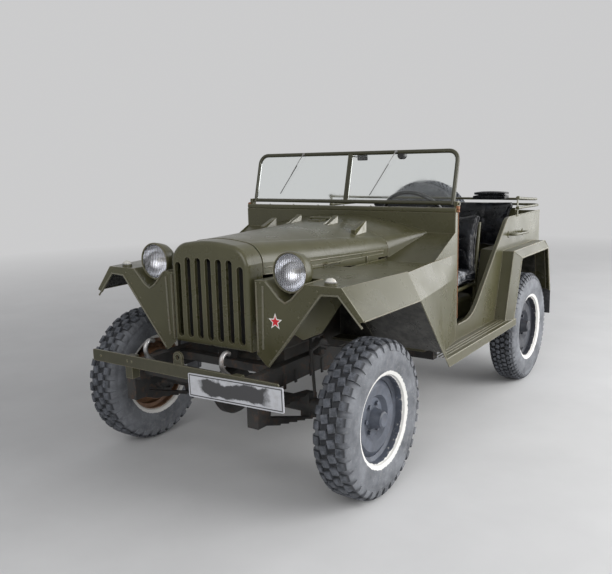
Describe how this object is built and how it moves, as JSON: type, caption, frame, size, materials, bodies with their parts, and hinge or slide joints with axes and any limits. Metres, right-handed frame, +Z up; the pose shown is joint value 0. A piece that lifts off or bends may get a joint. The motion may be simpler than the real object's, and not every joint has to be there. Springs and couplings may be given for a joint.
{
  "type": "army 4x4 car",
  "caption": "Open army 4x4 car with a scalloped tub, a folding windscreen, headlamps set in V pockets, a slotted grille, a lifting bonnet, steered front wheels and a spare wheel at the rear.",
  "frame": {"origin": "on the ground, under the centre of the car's bounding box", "axes": "-Y is the car's front, +X its left side and +Z up"},
  "size_m": [1.684, 3.2923, 1.5844],
  "materials": {
    "bare_steel": "worn bright",
    "chassis_paint": "dark paint with road dirt",
    "control_black": "worn",
    "engine_iron": "oily",
    "exhaust_steel": "rusty",
    "flap_rubber": "matte",
    "lamp_glass": "clear",
    "marker_lens": "pale, a little stained",
    "olive_paint": "satin paint with light wear",
    "plate_paint": "white, worn",
    "seat_hide": "grained, worn",
    "tyre_rubber": "matte, dusty",
    "wheel_paint": "dark paint",
    "window_glass": "clear"
  },
  "bodies": {
    "car": {"body_sides": "olive_paint", "chassis_frame": "chassis_paint", "cowl": "olive_paint", "cowl_sides": "olive_paint", "dashboard": "olive_paint", "driver_controls": "chassis_paint", "engine": "engine_iron", "exhaust": "exhaust_steel", "floor": "olive_paint", "front_axle": "chassis_paint", "front_backrests": "seat_hide", "front_bumper": "olive_paint", "front_cushions": "seat_hide", "front_fenders": "olive_paint", "front_panels": "olive_paint", "fuel_tank": "olive_paint", "gearbox": "engine_iron", "grab_handles": "olive_paint", "grille": "olive_paint", "headlamp_lenses": "lamp_glass", "headlamp_shells": "olive_paint", "hood_bows": "olive_paint", "leaf_springs": "chassis_paint", "marker_lamps": "marker_lens", "mud_flaps": "flap_rubber", "number_plate": "plate_paint", "propeller_shafts": "chassis_paint", "radiator": "engine_iron", "rear_axle": "chassis_paint", "rear_bench": "seat_hide", "rear_fenders": "olive_paint", "rear_panel": "olive_paint", "running_boards": "olive_paint", "scuttle": "olive_paint", "seat_frames": "olive_paint", "spare_tyre": "tyre_rubber", "spare_wheel": "olive_paint", "tow_hooks": "bare_steel", "wheel_boxes": "olive_paint"},
    "left_knuckle": {"left_knuckle": "chassis_paint"},
    "right_knuckle": {"right_knuckle": "chassis_paint"},
    "track_rod": {"track_rod": "chassis_paint"},
    "front_left_wheel": {"front_left_wheel": "wheel_paint", "front_left_tyre": "tyre_rubber"},
    "front_right_wheel": {"front_right_wheel": "wheel_paint", "front_right_tyre": "tyre_rubber"},
    "rear_left_wheel": {"rear_left_wheel": "wheel_paint", "rear_left_tyre": "tyre_rubber"},
    "rear_right_wheel": {"rear_right_wheel": "wheel_paint", "rear_right_tyre": "tyre_rubber"},
    "steering_wheel": {"steering_wheel": "control_black"},
    "bonnet": {"bonnet": "olive_paint"},
    "windscreen": {"windscreen_frame": "olive_paint", "windscreen_glass": "window_glass"}
  },
  "joints": [
    {"name": "left_steering", "type": "hinge", "parent": "car", "child": "left_knuckle", "pos_m": [0.59, -1.1485, 0.37], "axis": [0, 0, 1], "range_deg": [-28, 28]},
    {"name": "right_steering", "type": "hinge", "parent": "car", "child": "right_knuckle", "pos_m": [-0.59, -1.1485, 0.37], "axis": [0, 0, 1], "range_deg": [-28, 28]},
    {"name": "track_rod_pivot", "type": "hinge", "parent": "left_knuckle", "child": "track_rod", "pos_m": [0.59, -0.9635, 0.3], "axis": [0, 0, 1], "range_deg": [-28, 28]},
    {"name": "front_left_wheel_spin", "type": "hinge", "parent": "left_knuckle", "child": "front_left_wheel", "pos_m": [0.723, -1.1485, 0.37], "axis": [1, 0, 0], "continuous": true},
    {"name": "front_right_wheel_spin", "type": "hinge", "parent": "right_knuckle", "child": "front_right_wheel", "pos_m": [-0.723, -1.1485, 0.37], "axis": [1, 0, 0], "continuous": true},
    {"name": "rear_left_wheel_spin", "type": "hinge", "parent": "car", "child": "rear_left_wheel", "pos_m": [0.723, 0.9515, 0.37], "axis": [1, 0, 0], "continuous": true},
    {"name": "rear_right_wheel_spin", "type": "hinge", "parent": "car", "child": "rear_right_wheel", "pos_m": [-0.723, 0.9515, 0.37], "axis": [1, 0, 0], "continuous": true},
    {"name": "steering_wheel_turn", "type": "hinge", "parent": "car", "child": "steering_wheel", "pos_m": [0.37, 0.0565, 1.16], "axis": [0, 0.866, 0.5], "range_deg": [-425, 425]},
    {"name": "bonnet_hinge", "type": "hinge", "parent": "car", "child": "bonnet", "pos_m": [0, -0.4255, 1.207], "axis": [-1, 0, 0], "range_deg": [0, 60]},
    {"name": "windscreen_fold", "type": "hinge", "parent": "car", "child": "windscreen", "pos_m": [0, -0.1455, 1.282], "axis": [-1, 0, 0], "range_deg": [-108, 0]}
  ],
  "couplings": [
    {"joint": "right_steering", "follows": "left_steering", "ratio": 1},
    {"joint": "track_rod_pivot", "follows": "left_steering", "ratio": -1},
    {"joint": "steering_wheel_turn", "follows": "left_steering", "ratio": 15}
  ]
}
